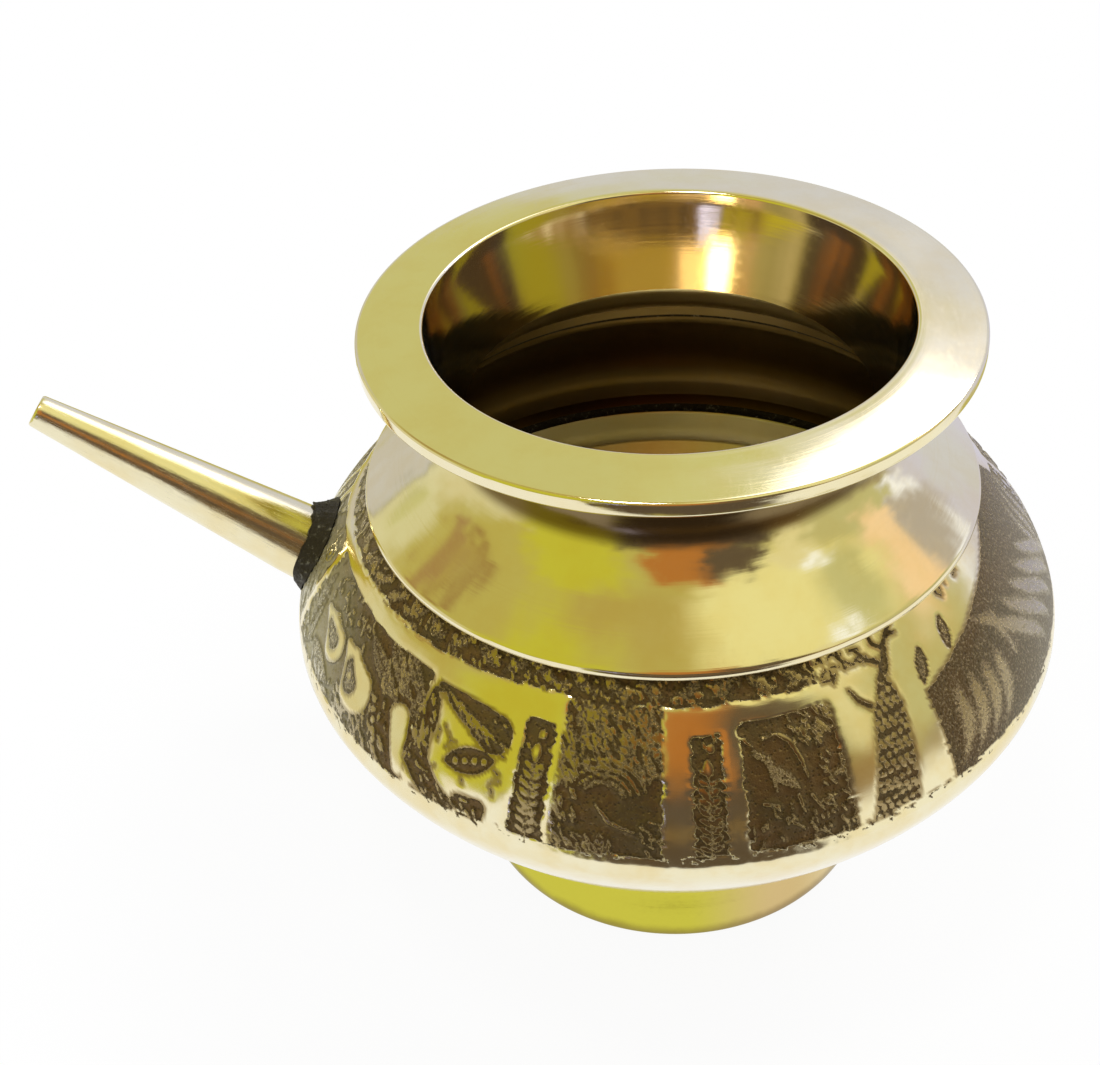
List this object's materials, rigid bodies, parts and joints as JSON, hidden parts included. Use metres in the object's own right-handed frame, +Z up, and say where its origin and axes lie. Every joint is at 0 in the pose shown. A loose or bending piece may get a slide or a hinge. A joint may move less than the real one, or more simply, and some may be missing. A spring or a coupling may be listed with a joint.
{
  "type": "karwa pot",
  "caption": "Footed brass water pot with a wide flanged mouth, overhanging shoulder, engraved belly and straight tapered pouring spout.",
  "frame": {"origin": "middle of the footprint, spout included, on the surface that the pot stands on", "axes": "+Z up along the pot's own axis, -X the way the spout points, +Y across the pot"},
  "size_m": [0.1606, 0.122, 0.1012],
  "materials": {
    "polished_brass": "turned and polished",
    "engraved_brass": "chased, with a darkened ground",
    "bowl_brass": "turned and polished",
    "spout_brass": "drawn and buffed along its length",
    "solder": "dark, as left by the flame"
  },
  "bodies": {
    "root": {"rim_and_shoulder": "polished_brass", "belly_shell": "engraved_brass", "lower_bowl": "bowl_brass", "foot_ring": "bowl_brass", "spout_tube": "spout_brass", "spout_solder": "solder", "shoulder_seam_solder": "solder", "belly_seam_solder": "solder", "foot_seam_solder": "solder"}
  },
  "joints": []
}
